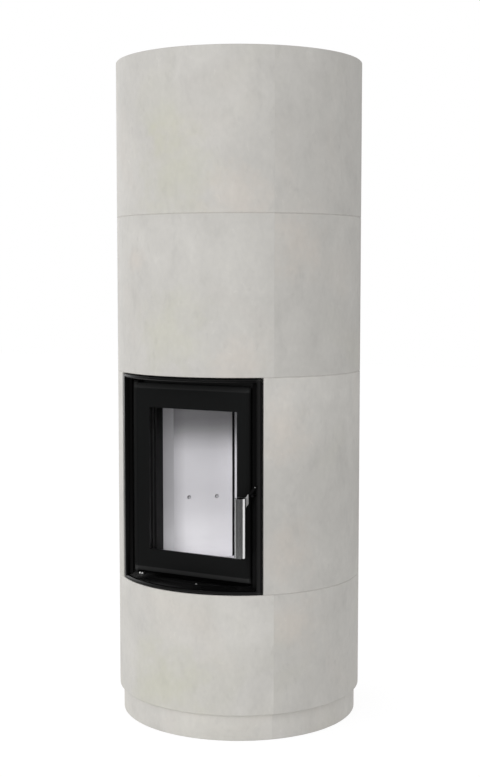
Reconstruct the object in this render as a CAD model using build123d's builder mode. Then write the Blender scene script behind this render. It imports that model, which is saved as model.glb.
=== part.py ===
from build123d import *
import os
from math import atan, cos, degrees, radians, sin, tan

# A round tiled stove: four courses of curved tiles on a recessed plinth, with a steel
# firebox insert whose flat, glazed door sits in a curved surround.
# Millimetres. The column's axis is Z, the floor is Z = 0 and the door faces -Y.
# A "depth" is a distance in front of the column's axis, measured along -Y.

os.makedirs("parts", exist_ok=True)

# ---------------------------------------------------------------- column
column_radius = 350.0
tile_thickness = 36.0
tile_edge_chamfer = 1.7
tile_side_gap = 0.1
plinth_recess = 11.5
plinth_height = 73.0
base_course_height = 330.0
door_course_height = 586.0
upper_course_height = 434.5
tile_corner_angle = 45.0
door_cutout_angle = 40.3
door_axis_angle = -90.0

base_course_bottom = plinth_height
door_course_bottom = base_course_bottom + base_course_height
middle_course_bottom = door_course_bottom + door_course_height
top_course_bottom = middle_course_bottom + upper_course_height
column_height = top_course_bottom + upper_course_height
tile_inner_radius = column_radius - tile_thickness

# ---------------------------------------------------------------- fits
seat_gap = 0.3
sliding_gap = 0.3
running_gap = 0.05
swing_gap = 0.4

# ---------------------------------------------------------------- curved surround
surround_gap_angle = 0.5
surround_top_gap = 3.0
surround_setback = 1.0
rim_thickness = 11.0
rim_side_angle = 2.6
rim_band_height = 10.0
rim_round = 3.0
flange_setback = 1.2
flange_width = 11.0
flange_thickness = 4.0
pocket_wall = 3.0
window_overcut = 1.0

surround_angle = door_cutout_angle - surround_gap_angle
window_angle = surround_angle - rim_side_angle
surround_bottom = door_course_bottom
surround_top = middle_course_bottom - surround_top_gap
rim_outer_radius = column_radius - surround_setback
rim_inner_radius = rim_outer_radius - rim_thickness
window_bottom = surround_bottom + rim_band_height
window_top = surround_top - rim_band_height
flange_depth = rim_inner_radius * cos(radians(window_angle)) - flange_setback
pocket_half_width = rim_inner_radius * sin(radians(window_angle)) - flange_width

# ---------------------------------------------------------------- sill
sill_thickness = 4.0
sill_rise = 10.0
sill_slope_width = 16.0
sill_rib_spacing = 120.0
sill_rib_width = 6.0
slot_length = 58.0
slot_width = 6.0
slot_inset = 15.0
slot_offset = 10.0
stud_x = 45.0
stud_inset = 22.0
stud_radius = 2.5
stud_height = 1.6
stud_chamfer = 0.6

sill_edge_height = window_bottom
sill_top = sill_edge_height + sill_rise
sill_slope_radius = rim_inner_radius - sill_slope_width
stud_depth = rim_inner_radius - stud_inset

# ---------------------------------------------------------------- door leaf
leaf_proud = 2.0
leaf_thickness = 8.0
leaf_hinge_gap = 4.5
leaf_latch_gap = 8.0
leaf_sill_gap = 7.0
leaf_top_gap = 15.0
bevel_width = 12.0
bevel_depth = 5.0
hinge_stile_width = 53.0
latch_stile_width = 39.5
leaf_bottom_rail = 64.5
leaf_top_rail = 67.0
glass_overlap = 10.0
glass_thickness = 4.0
tape_thickness = 1.4
tape_width = 8.0
gasket_thickness = 9.7
retainer_thickness = 6.6
retainer_lip = 3.0
retainer_side_margin = 16.0
retainer_end_margin = 25.0
retainer_screw_offset = 17.5
rib_width = 8.0
rib_margin = 13.0
retainer_screw_radius = 2.0
screw_hole_gap = 0.1
retainer_screw_head = 3.5
retainer_screw_head_height = 2.4
retainer_screw_depth = 5.0

leaf_front = flange_depth + leaf_proud
leaf_back = leaf_front - leaf_thickness
leaf_left = leaf_hinge_gap - pocket_half_width
leaf_right = pocket_half_width - leaf_latch_gap
leaf_bottom = sill_top + leaf_sill_gap
leaf_top = window_top - leaf_top_gap
glass_left = leaf_left + hinge_stile_width
glass_right = leaf_right - latch_stile_width
glass_bottom = leaf_bottom + leaf_bottom_rail
glass_top = leaf_top - leaf_top_rail
glass_center_x = (glass_left + glass_right) / 2.0
glass_front = leaf_back - tape_thickness
glass_back = glass_front - glass_thickness
retainer_back = glass_back - retainer_thickness
slot_depth = leaf_front + slot_offset

# ---------------------------------------------------------------- firebox
front_plate_thickness = 4.0
front_plate_margin = 3.5
mouth_side_margin = 5.0
mouth_floor_margin = 34.0
mouth_top_margin = 30.0
mouth_step = 16.0
jamb_thickness = 3.5
jamb_length = 29.5
side_brick_length = 56.2
lining_thickness = 32.7
shell_wall = 4.0
floor_brick_thickness = 24.0
back_brick_thickness = 30.0
back_slope_angle = 42.8
back_channel_half_width = 3.5
back_channel_recess = 12.0
channel_fit = 0.3
baffle_thickness = 25.0
baffle_throat = 36.0
shell_headroom = 40.0
air_hole_radius = 5.5
air_hole_height = 177.5
air_box_height = 45.0
air_box_side_inset = 18.0
air_box_back = 60.0
air_box_wall = 3.0
grate_width = 120.0
grate_length = 70.0
grate_thickness = 12.0
grate_offset = 10.0
grate_ledge = 6.0
grate_slots = 7
grate_slot_width = 7.0
grate_slot_margin = 10.0
ash_pan_height = 34.0
ash_pan_wall = 2.0
ash_pan_fit = 4.0

front_plate_depth = retainer_back - gasket_thickness - seat_gap
front_plate_back = front_plate_depth - front_plate_thickness
front_plate_half_width = pocket_half_width + front_plate_margin
mouth_half_width = -glass_left - mouth_side_margin
mouth_bottom = glass_bottom - mouth_floor_margin
mouth_top = glass_top + mouth_top_margin
jamb_back = front_plate_back - jamb_length
side_brick_back = jamb_back - seat_gap - side_brick_length
brick_outer_half_width = mouth_half_width + lining_thickness
shell_inner_radius = brick_outer_half_width + seat_gap
shell_radius = shell_inner_radius + shell_wall
chamber_floor = mouth_bottom - mouth_step
chamber_top = mouth_top
chamber_height = chamber_top - chamber_floor
floor_bottom = chamber_floor - floor_brick_thickness
shell_bottom = floor_bottom - shell_wall
air_box_bottom = shell_bottom - air_box_height
air_box_half_width = shell_radius - air_box_side_inset
shell_top = chamber_top + baffle_thickness + shell_headroom
back_slope = tan(radians(back_slope_angle))
back_edge_shift = back_brick_thickness / cos(radians(back_slope_angle))
wall_line = side_brick_back - mouth_half_width * back_slope
channel_edge_depth = wall_line + back_channel_half_width * back_slope
grate_depth = side_brick_back + grate_offset

# ---------------------------------------------------------------- flue and heat store
flue_radius = 75.0
flue_wall = 2.0
collar_wall = 4.2
collar_flange_width = 22.0
collar_flange_thickness = 6.0
collar_spigot_height = 40.0
socket_length = 55.0
socket_clearance = 0.3
pipe_top_gap = 3.0
carrier_gap = 5.0
carrier_thickness = 8.0
carrier_inset = 52.0
carrier_hole_gap = 12.0
store_inset = 84.0
store_bore_gap = 15.0
store_headroom = 63.0
store_ring_count = 3
cover_thickness = 30.0
cover_inset = 5.0
cover_hole_gap = 3.0
bracket_angle = 6.0
bracket_height = 30.0
bracket_reach = 30.0
bracket_thickness = 6.0
bracket_shelf = 4.0

pipe_outer_radius = flue_radius
pipe_inner_radius = flue_radius - flue_wall
socket_radius = flue_radius + socket_clearance
collar_bottom = shell_top
pipe_bottom = collar_bottom + collar_flange_thickness
pipe_top = column_height - cover_inset - pipe_top_gap
carrier_radius = tile_inner_radius - carrier_inset
carrier_bottom = pipe_bottom + carrier_gap
store_radius = tile_inner_radius - store_inset
store_bottom = carrier_bottom + carrier_thickness
cover_bottom = column_height - cover_inset - cover_thickness
store_pitch = (cover_bottom - store_headroom - store_bottom) / store_ring_count
store_ring_height = store_pitch - seat_gap

# ---------------------------------------------------------------- stand
stand_inset = 52.0
stand_plate_thickness = 6.0
post_size = 30.0
post_wall = 2.5
post_inset = 88.5
post_y = 82.0
foot_radius = 22.0
foot_height = 14.0
foot_stem_height = 26.0
foot_stem_fit = 0.5
foot_collar_inset = 2.0
foot_pad_height = 8.0
intake_radius = 50.0
intake_wall = 2.0
intake_clearance = 1.0
intake_floor_gap = 8.0

stand_radius = tile_inner_radius - stand_inset
post_x = tile_inner_radius - post_inset
stand_top = air_box_bottom
leg_top = stand_top - stand_plate_thickness

# ---------------------------------------------------------------- hinge
hinge_inset = 8.0
hinge_boss_radius = 7.5
hinge_boss_height = 25.0
hinge_pin_radius = 4.0
hinge_pin_reach = 18.0
hinge_bracket_thickness = 6.0
hinge_bracket_radius = 8.0

hinge_x = leaf_left + hinge_inset
hinge_depth = leaf_back

# ---------------------------------------------------------------- handle
grip_inset = 12.0
grip_radius = 15.5
grip_length = 162.0
grip_rise = 10.5
grip_chamfer = 1.5
grip_standoff = 19.0
scoop_offset = 4.25
scoop_radius = 9.0
scoop_end_angle = -35.4
lever_standoff = 11.0
hook_thickness = 3.0
lever_thickness = 3.0
cheek_width = 16.5
cheek_drop = 28.0
cheek_corner_width = 9.0
cheek_corner_height = 12.0
hook_margin = 3.0
hook_nose_reach = 36.2
hook_nose_height = 29.6
hook_nose_radius = 4.0
hook_chin_reach = 28.5
hook_chin_height = 14.0
hook_chin_rise = 1.0
pivot_offset = 8.0
pivot_drop = 12.0
pivot_radius = 4.0
pivot_boss_radius = 9.0
pivot_boss_gap = 0.3
pivot_seat_depth = 1.5
pivot_end_gap = 0.5
latch_flange_offset = 7.5
latch_rise = 6.0
latch_radius = 3.0
latch_chamfer = 0.8
latch_overlap = 1.5

grip_x = leaf_right - grip_inset
grip_bottom = glass_bottom + grip_rise
grip_top = grip_bottom + grip_length
scoop_x = grip_x + scoop_offset
scoop_z = grip_top + scoop_radius
hook_back = leaf_front + lever_standoff
lever_back = hook_back + hook_thickness
lever_front = lever_back + lever_thickness
grip_depth = hook_back + grip_standoff
cheek_left = grip_x - grip_radius
cheek_right = grip_x + cheek_width
cheek_bottom = grip_top - cheek_drop
pivot_x = grip_x - pivot_offset
pivot_z = grip_top - pivot_drop
pivot_end = lever_back + pivot_seat_depth - pivot_end_gap
latch_x = pocket_half_width + latch_flange_offset
latch_z = grip_top + latch_rise
latch_end = lever_back + latch_overlap

# ---------------------------------------------------------------- air control
knob_rest_travel = 22.5
knob_length = 15.0
knob_width = 8.0
knob_height = 5.5
knob_chamfer = 1.2
knob_dimple_radius = 2.2
knob_dimple_spacing = 7.5
knob_dimple_depth = 1.0
stem_radius = 2.5
shutter_length = 48.0
shutter_offset = 6.0
shutter_height = 12.5
shutter_thickness = 3.0
shutter_rise = 2.0
arm_width = 12.0
arm_thickness = 3.0
arm_rise = 1.0
arm_overhang = 4.0
port_length = 28.0
port_overlap = 2.0
port_margin = 2.0
rail_thickness = 3.0
rail_margin = 16.0
rail_lip = 0.5
rail_lip_thickness = 2.4

slot_left = slot_inset - pocket_half_width
slot_right = slot_left + slot_length
knob_x = slot_left + knob_rest_travel
shutter_x = knob_x + shutter_offset
shutter_left = shutter_x - shutter_length / 2.0
shutter_right = shutter_x + shutter_length / 2.0
shutter_bottom = surround_bottom + shutter_rise
shutter_back = front_plate_depth + sliding_gap
shutter_front = shutter_back + shutter_thickness
arm_bottom = shutter_bottom + arm_rise
port_left = shutter_right - port_overlap
port_right = port_left + port_length
rail_top = shutter_bottom - sliding_gap
rail_left = shutter_left - rail_margin
rail_right = port_right + rail_margin


def keep(piece, name):
    """Label a finished sub-part and write it as its own STEP file."""
    piece.part.label = name
    export_step(piece.part, f"parts/{name}.step")


def sector(inner_radius, outer_radius, start, end):
    """Closed outline of a ring segment between two angles, for a sketch on XY."""
    with BuildLine() as border:
        outer = CenterArc((0, 0), outer_radius, start, end - start)
        inner = CenterArc((0, 0), inner_radius, start, end - start)
        Line(outer @ 0, inner @ 0)
        Line(outer @ 1, inner @ 1)
    make_face(border.edges())


def outline(*points):
    """Closed polygon through the given points, for the open sketch."""
    with BuildLine() as border:
        Polyline(*points, close=True)
    make_face(border.edges())


# ================================================================ tiles
def tile(name, bottom, height, radius, start, end):
    """One curved tile of a course, its front edges broken above and below."""
    gap_angle = degrees(tile_side_gap / 2.0 / radius)
    with BuildPart() as piece:
        with BuildSketch(Plane.XY.offset(bottom)):
            sector(radius - tile_thickness, radius, start + gap_angle, end - gap_angle)
        extrude(amount=height)
        face = piece.faces().filter_by(GeomType.CYLINDER).sort_by(SortBy.AREA)[-1]
        chamfer(face.edges().filter_by(GeomType.CIRCLE), length=tile_edge_chamfer)
    keep(piece, name)


def course(name, bottom, height, radius):
    """Four quarter tiles. The joints stand at 45 degrees to the door's axis."""
    for index, side in enumerate(("front", "right", "back", "left")):
        start = door_axis_angle - tile_corner_angle + 90.0 * index
        tile(f"{name}_{side}", bottom, height, radius, start, start + 90.0)


course("plinth", 0.0, plinth_height, column_radius - plinth_recess)
course("base_tile", base_course_bottom, base_course_height, column_radius)
course("middle_tile", middle_course_bottom, upper_course_height, column_radius)
course("top_tile", top_course_bottom, upper_course_height, column_radius)

door_left_angle = door_axis_angle + 360.0 - door_cutout_angle
door_right_angle = door_axis_angle + door_cutout_angle
right_joint = 90.0 - tile_corner_angle
left_joint = 90.0 + tile_corner_angle
tile("door_tile_right", door_course_bottom, door_course_height, column_radius, door_right_angle, right_joint)
tile("door_tile_back", door_course_bottom, door_course_height, column_radius, right_joint, left_joint)
tile("door_tile_left", door_course_bottom, door_course_height, column_radius, left_joint, door_left_angle)

# ================================================================ top cover
with BuildPart() as top_cover:
    with BuildSketch(Plane.XY.offset(cover_bottom)):
        Circle(tile_inner_radius - seat_gap)
        Circle(socket_radius + flue_wall + cover_hole_gap, mode=Mode.SUBTRACT)
    extrude(amount=cover_thickness)
    chamfer(top_cover.edges().group_by(Axis.Z)[-1], length=tile_edge_chamfer)
keep(top_cover, "top_cover")

with BuildPart() as cover_brackets:
    for angle in (0.0, 90.0, 180.0, 270.0):
        with BuildSketch(Plane.XY.offset(cover_bottom - bracket_height)):
            sector(tile_inner_radius - bracket_thickness, tile_inner_radius,
                   angle - bracket_angle, angle + bracket_angle)
        extrude(amount=bracket_height)
        with BuildSketch(Plane.XY.offset(cover_bottom - bracket_shelf)):
            sector(tile_inner_radius - bracket_reach, tile_inner_radius,
                   angle - bracket_angle, angle + bracket_angle)
        extrude(amount=bracket_shelf)
keep(cover_brackets, "cover_brackets")

# ================================================================ stand
post_places = [(post_x, post_y), (-post_x, post_y), (-post_x, -post_y), (post_x, -post_y)]

with BuildPart() as insert_stand:
    with BuildSketch(Plane.XY.offset(foot_height)):
        with Locations(*post_places):
            Rectangle(post_size, post_size)
            Rectangle(post_size - 2 * post_wall, post_size - 2 * post_wall, mode=Mode.SUBTRACT)
    extrude(amount=leg_top - foot_height)
    with BuildSketch(Plane.XY.offset(leg_top)):
        Circle(stand_radius)
        Circle(intake_radius + intake_clearance, mode=Mode.SUBTRACT)
    extrude(amount=stand_plate_thickness)
keep(insert_stand, "insert_stand")

with BuildPart() as levelling_feet:
    with BuildSketch():
        with Locations(*post_places):
            Circle(foot_radius)
    extrude(amount=foot_pad_height)
    chamfer(levelling_feet.edges().group_by(Axis.Z)[-1], length=foot_collar_inset)
    with BuildSketch(Plane.XY.offset(foot_pad_height)):
        with Locations(*post_places):
            Rectangle(post_size - 2 * (post_wall + foot_stem_fit), post_size - 2 * (post_wall + foot_stem_fit))
    extrude(amount=foot_stem_height)
    with BuildSketch(Plane.XY.offset(foot_pad_height)):
        with Locations(*post_places):
            Circle(foot_radius - foot_collar_inset)
    extrude(amount=foot_height - foot_pad_height)
keep(levelling_feet, "levelling_feet")

with BuildPart() as storage_posts:
    with BuildSketch(Plane.XY.offset(stand_top)):
        with Locations(*post_places):
            Rectangle(post_size, post_size)
            Rectangle(post_size - 2 * post_wall, post_size - 2 * post_wall, mode=Mode.SUBTRACT)
    extrude(amount=carrier_bottom - stand_top)
keep(storage_posts, "storage_posts")

with BuildPart() as storage_carrier:
    with BuildSketch(Plane.XY.offset(carrier_bottom)):
        Circle(carrier_radius)
        Circle(flue_radius + carrier_hole_gap, mode=Mode.SUBTRACT)
    extrude(amount=carrier_thickness)
keep(storage_carrier, "storage_carrier")

with BuildPart() as storage_rings:
    for index in range(store_ring_count):
        with BuildSketch(Plane.XY.offset(store_bottom + index * store_pitch)):
            Circle(store_radius)
            Circle(flue_radius + store_bore_gap, mode=Mode.SUBTRACT)
        extrude(amount=store_ring_height)
keep(storage_rings, "storage_rings")

# ================================================================ flue and air intake
with BuildPart() as flue_collar:
    with BuildSketch(Plane.XY.offset(collar_bottom)):
        Circle(flue_radius + collar_flange_width)
        Circle(pipe_inner_radius - seat_gap - collar_wall, mode=Mode.SUBTRACT)
    extrude(amount=collar_flange_thickness)
    with BuildSketch(Plane.XY.offset(pipe_bottom)):
        Circle(pipe_inner_radius - seat_gap)
        Circle(pipe_inner_radius - seat_gap - collar_wall, mode=Mode.SUBTRACT)
    extrude(amount=collar_spigot_height)
keep(flue_collar, "flue_collar")

with BuildPart() as smoke_pipe:
    with BuildSketch(Plane.XY.offset(pipe_bottom)):
        Circle(pipe_outer_radius)
    extrude(amount=pipe_top - pipe_bottom)
    with BuildSketch(Plane.XY.offset(pipe_top - socket_length - flue_wall)):
        Circle(socket_radius + flue_wall)
    extrude(amount=socket_length + flue_wall)
    with BuildSketch(Plane.XY.offset(pipe_top - socket_length)):
        Circle(socket_radius)
    extrude(amount=socket_length, mode=Mode.SUBTRACT)
    with BuildSketch(Plane.XY.offset(pipe_bottom)):
        Circle(pipe_inner_radius)
    extrude(amount=pipe_top - pipe_bottom, mode=Mode.SUBTRACT)
keep(smoke_pipe, "smoke_pipe")

with BuildPart() as air_intake_pipe:
    with BuildSketch(Plane.XY.offset(intake_floor_gap)):
        Circle(intake_radius)
        Circle(intake_radius - intake_wall, mode=Mode.SUBTRACT)
    extrude(amount=air_box_bottom - intake_floor_gap)
keep(air_intake_pipe, "air_intake_pipe")

# ================================================================ firebox
with BuildPart() as air_box:
    with BuildSketch(Plane.XY.offset(air_box_bottom)):
        with Locations((0, (air_box_back - front_plate_back) / 2.0)):
            Rectangle(2 * air_box_half_width, front_plate_back + air_box_back)
    extrude(amount=air_box_height)
    with BuildSketch(Plane.XY.offset(air_box_bottom + air_box_wall)):
        with Locations((0, (air_box_back - air_box_wall - front_plate_back) / 2.0)):
            Rectangle(2 * (air_box_half_width - air_box_wall), front_plate_back + air_box_back - air_box_wall)
    extrude(amount=air_box_height, mode=Mode.SUBTRACT)
    with BuildSketch(Plane.XY.offset(air_box_bottom)):
        Circle(intake_radius - intake_wall)
    extrude(amount=air_box_wall, mode=Mode.SUBTRACT)
keep(air_box, "air_box")


def shell_plan(radius):
    """Plan of the firebox: a half circle about the axis, run straight to the front plate."""
    with BuildLine() as border:
        back = CenterArc((0, 0), radius, 0.0, 180.0)
        Polyline(back @ 1, (-radius, -front_plate_back), (radius, -front_plate_back), back @ 0)
    make_face(border.edges())


with BuildPart() as firebox_shell:
    with BuildSketch(Plane.XY.offset(shell_bottom)):
        shell_plan(shell_radius)
    extrude(amount=shell_top - shell_bottom)
    with BuildSketch(Plane.XY.offset(floor_bottom)):
        shell_plan(shell_inner_radius)
    extrude(amount=shell_top - shell_wall - floor_bottom, mode=Mode.SUBTRACT)
    with BuildSketch(Plane.XY.offset(shell_top - shell_wall)):
        Circle(pipe_inner_radius - seat_gap - collar_wall)
    extrude(amount=shell_wall, mode=Mode.SUBTRACT)
    with BuildSketch(Plane.XY.offset(shell_bottom)):
        with Locations((0, -grate_depth)):
            Rectangle(grate_width, grate_length)
    extrude(amount=shell_wall, mode=Mode.SUBTRACT)
keep(firebox_shell, "firebox_shell")

with BuildPart() as firebox_front:
    with BuildSketch(Plane.XZ.offset(front_plate_back)):
        outline((-front_plate_half_width, air_box_bottom), (front_plate_half_width, air_box_bottom),
                (front_plate_half_width, shell_top), (-front_plate_half_width, shell_top))
        with Locations(((port_left + port_right) / 2.0, shutter_bottom + shutter_height / 2.0)):
            Rectangle(port_length, shutter_height - 2 * port_margin, mode=Mode.SUBTRACT)
    extrude(amount=front_plate_thickness)
    with BuildSketch(Plane.XZ.offset(jamb_back)):
        with Locations((0, (mouth_bottom + mouth_top) / 2.0)):
            Rectangle(2 * (mouth_half_width + jamb_thickness), mouth_top - mouth_bottom + 2 * jamb_thickness)
    extrude(amount=jamb_length)
    with BuildSketch(Plane.XZ.offset(jamb_back)):
        with Locations((0, (mouth_bottom + mouth_top) / 2.0)):
            Rectangle(2 * mouth_half_width, mouth_top - mouth_bottom)
    extrude(amount=jamb_length + front_plate_thickness, mode=Mode.SUBTRACT)
    with BuildSketch(Plane.XZ.offset(front_plate_depth)):
        outline((rail_left, rail_top - rail_thickness), (rail_right, rail_top - rail_thickness),
                (rail_right, rail_top), (rail_left, rail_top))
    extrude(amount=shutter_thickness + 2 * sliding_gap + rail_lip_thickness)
    with BuildSketch(Plane.XZ.offset(shutter_front + sliding_gap)):
        outline((rail_left, rail_top), (rail_right, rail_top),
                (rail_right, rail_top + rail_lip), (rail_left, rail_top + rail_lip))
    extrude(amount=rail_lip_thickness)
keep(firebox_front, "firebox_front")


def side_brick(name, side):
    """Fireclay side slab, between the mouth's jamb and the slanted back brick."""
    with BuildPart() as piece:
        with BuildSketch(Plane.XY.offset(chamber_floor)):
            outline((side * mouth_half_width, -jamb_back + seat_gap),
                    (side * mouth_half_width, -side_brick_back),
                    (side * brick_outer_half_width, -side_brick_back),
                    (side * brick_outer_half_width, -jamb_back + seat_gap))
        extrude(amount=chamber_height)
    keep(piece, name)


side_brick("side_brick_left", -1)
side_brick("side_brick_right", 1)


def back_brick(name, side):
    """Slanted fireclay slab: the two make the pointed back of the chamber."""
    outer_depth = wall_line + brick_outer_half_width * back_slope - back_edge_shift
    corner = back_channel_half_width
    with BuildPart() as piece:
        with BuildSketch(Plane.XY.offset(chamber_floor)):
            outline((side * mouth_half_width, -side_brick_back), (side * corner, -channel_edge_depth),
                    (side * corner, -(channel_edge_depth - back_edge_shift)),
                    (side * brick_outer_half_width, -outer_depth),
                    (side * brick_outer_half_width, -side_brick_back))
        extrude(amount=chamber_height)
        for share in (0.259, 0.73):
            hole_x = mouth_half_width + (corner - mouth_half_width) * share
            hole_depth = wall_line + hole_x * back_slope
            face_plane = Plane(origin=(side * hole_x, -hole_depth, chamber_floor + air_hole_height),
                               z_dir=(-side * back_slope, -1, 0))
            with BuildSketch(face_plane):
                Circle(air_hole_radius)
            extrude(amount=-back_brick_thickness, mode=Mode.SUBTRACT)
    keep(piece, name)


back_brick("back_brick_left", -1)
back_brick("back_brick_right", 1)

with BuildPart() as back_channel:
    with BuildSketch(Plane.XY.offset(chamber_floor)):
        half = back_channel_half_width - channel_fit
        channel_front = channel_edge_depth - back_channel_recess
        channel_back = channel_edge_depth - back_edge_shift
        outline((-half, -channel_front), (half, -channel_front), (half, -channel_back), (-half, -channel_back))
    extrude(amount=chamber_height)
keep(back_channel, "back_channel")


def lining_plan(front):
    """Plan inside the shell, from the given depth back to the outer faces of the back bricks."""
    side_depth = wall_line + brick_outer_half_width * back_slope - back_edge_shift
    outline((-brick_outer_half_width, -front), (brick_outer_half_width, -front),
            (brick_outer_half_width, -side_depth), (0, -(wall_line - back_edge_shift)),
            (-brick_outer_half_width, -side_depth))


with BuildPart() as floor_brick:
    with BuildSketch(Plane.XY.offset(floor_bottom)):
        lining_plan(front_plate_back - seat_gap)
        with Locations((0, -grate_depth)):
            Rectangle(grate_width - 2 * grate_ledge, grate_length - 2 * grate_ledge, mode=Mode.SUBTRACT)
    extrude(amount=floor_brick_thickness)
    with BuildSketch(Plane.XY.offset(chamber_floor - grate_thickness)):
        with Locations((0, -grate_depth)):
            Rectangle(grate_width, grate_length)
    extrude(amount=grate_thickness, mode=Mode.SUBTRACT)
keep(floor_brick, "floor_brick")

with BuildPart() as grate:
    with BuildSketch(Plane.XY.offset(chamber_floor - grate_thickness)):
        with Locations((0, -grate_depth)):
            Rectangle(grate_width - 2 * seat_gap, grate_length - 2 * seat_gap)
        slot_pitch = (grate_width - 2 * grate_slot_margin) / grate_slots
        with Locations((0, -grate_depth)):
            with GridLocations(slot_pitch, 0, grate_slots, 1):
                Rectangle(grate_slot_width, grate_length - 2 * grate_slot_margin, mode=Mode.SUBTRACT)
    extrude(amount=grate_thickness)
keep(grate, "grate")

with BuildPart() as ash_pan:
    with BuildSketch(Plane.XY.offset(air_box_bottom + air_box_wall)):
        with Locations((0, -grate_depth)):
            Rectangle(grate_width - 2 * ash_pan_fit, grate_length - 2 * ash_pan_fit)
    extrude(amount=ash_pan_height)
    with BuildSketch(Plane.XY.offset(air_box_bottom + air_box_wall + ash_pan_wall)):
        with Locations((0, -grate_depth)):
            Rectangle(grate_width - 2 * (ash_pan_fit + ash_pan_wall),
                      grate_length - 2 * (ash_pan_fit + ash_pan_wall))
    extrude(amount=ash_pan_height, mode=Mode.SUBTRACT)
keep(ash_pan, "ash_pan")

with BuildPart() as baffle_plate:
    with BuildSketch(Plane.XY.offset(chamber_top)):
        lining_plan(jamb_back - baffle_throat)
    extrude(amount=baffle_thickness)
keep(baffle_plate, "baffle_plate")

# ================================================================ surround
def surround_sector(inner_radius, outer_radius, half_angle):
    """Ring segment centred on the door's axis."""
    sector(inner_radius, outer_radius, door_axis_angle - half_angle, door_axis_angle + half_angle)


with BuildPart() as surround_frame:
    with BuildSketch(Plane.XY.offset(surround_bottom)):
        surround_sector(rim_inner_radius, rim_outer_radius, surround_angle)
    extrude(amount=surround_top - surround_bottom)
    with BuildSketch(Plane.XY.offset(window_bottom)):
        surround_sector(rim_inner_radius - window_overcut, rim_outer_radius + window_overcut, window_angle)
    extrude(amount=window_top - window_bottom, mode=Mode.SUBTRACT)
    rim_face = surround_frame.faces().filter_by(GeomType.CYLINDER).sort_by(SortBy.AREA)[-1]
    chamfer(rim_face.edges(), length=rim_round)
    rim_corner = Vector(rim_inner_radius, 0, 0).rotate(Axis.Z, door_axis_angle + surround_angle)
    for side in (-1, 1):
        with BuildSketch(Plane.XY.offset(surround_bottom)):
            outline((side * pocket_half_width, -front_plate_depth),
                    (side * (pocket_half_width + pocket_wall), -front_plate_depth),
                    (side * (pocket_half_width + pocket_wall), -(flange_depth - flange_thickness)),
                    (side * rim_corner.X, -(flange_depth - flange_thickness)),
                    (side * rim_corner.X, -flange_depth),
                    (side * pocket_half_width, -flange_depth))
        extrude(amount=surround_top - surround_bottom)
keep(surround_frame, "surround_frame")


def niche_plan():
    """Plan of the niche in front of the firebox, inside the pocket walls and the rim."""
    cut_depth = flange_depth + seat_gap
    Circle(rim_inner_radius - seat_gap)
    with Locations((0, (column_radius - cut_depth) / 2.0)):
        Rectangle(2 * column_radius, column_radius + cut_depth, mode=Mode.SUBTRACT)
    with Locations((0, -(front_plate_depth + seat_gap + cut_depth) / 2.0)):
        Rectangle(2 * (pocket_half_width - seat_gap), cut_depth - front_plate_depth - seat_gap)


with BuildPart() as soffit_plate:
    with BuildSketch(Plane.XY.offset(window_top)):
        niche_plan()
    extrude(amount=flange_thickness)
keep(soffit_plate, "soffit_plate")

# The sill is a cast plate, level behind and dished down to the rim along its front edge.
with BuildPart() as sill:
    with BuildSketch(Plane.XZ):
        outline((0, sill_top - sill_thickness), (sill_slope_radius, sill_top - sill_thickness),
                (rim_inner_radius, sill_edge_height - sill_thickness), (rim_inner_radius, sill_edge_height),
                (sill_slope_radius, sill_top), (0, sill_top))
    revolve(axis=Axis.Z)
    with BuildSketch(Plane.XY.offset(surround_bottom)):
        niche_plan()
    extrude(amount=sill_top - surround_bottom, mode=Mode.INTERSECT)
    with BuildSketch(Plane.XY.offset(sill_edge_height - sill_thickness)):
        with Locations(((slot_left + slot_right) / 2.0, -slot_depth)):
            SlotOverall(slot_length, slot_width)
    extrude(amount=sill_top, mode=Mode.SUBTRACT)
    for side in (-1, 1):
        with BuildSketch(Plane.XY.offset(surround_bottom)):
            with Locations((side * sill_rib_spacing / 2.0, -(tile_inner_radius + sill_rib_width))):
                Rectangle(sill_rib_width, sill_rib_width)
        extrude(amount=sill_top - sill_thickness / 2.0 - surround_bottom)
keep(sill, "sill")

with BuildPart() as sill_stud:
    with BuildSketch(Plane.XY.offset(sill_top)):
        with Locations((stud_x, -stud_depth)):
            Circle(stud_radius)
    extrude(amount=stud_height)
    chamfer(sill_stud.edges().group_by(Axis.Z)[-1], length=stud_chamfer)
keep(sill_stud, "sill_stud")

with BuildPart() as latch_pin:
    with BuildSketch(Plane.XZ.offset(flange_depth)):
        with Locations((latch_x, latch_z)):
            Circle(latch_radius)
    extrude(amount=latch_end - flange_depth)
    chamfer(latch_pin.edges().group_by(Axis.Y)[0], length=latch_chamfer)
keep(latch_pin, "latch_pin")

# ================================================================ air control
knob_bottom = sill_top + sliding_gap

with BuildPart() as air_shutter:
    with BuildSketch(Plane.XZ.offset(shutter_back)):
        with Locations((shutter_x, shutter_bottom + shutter_height / 2.0)):
            Rectangle(shutter_length, shutter_height)
    extrude(amount=shutter_thickness)
    with BuildSketch(Plane.XY.offset(arm_bottom)):
        arm_length = slot_depth + arm_overhang - shutter_back
        with Locations((knob_x, -(shutter_back + arm_length / 2.0))):
            Rectangle(arm_width, arm_length)
    extrude(amount=arm_thickness)
keep(air_shutter, "air_shutter")

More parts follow.
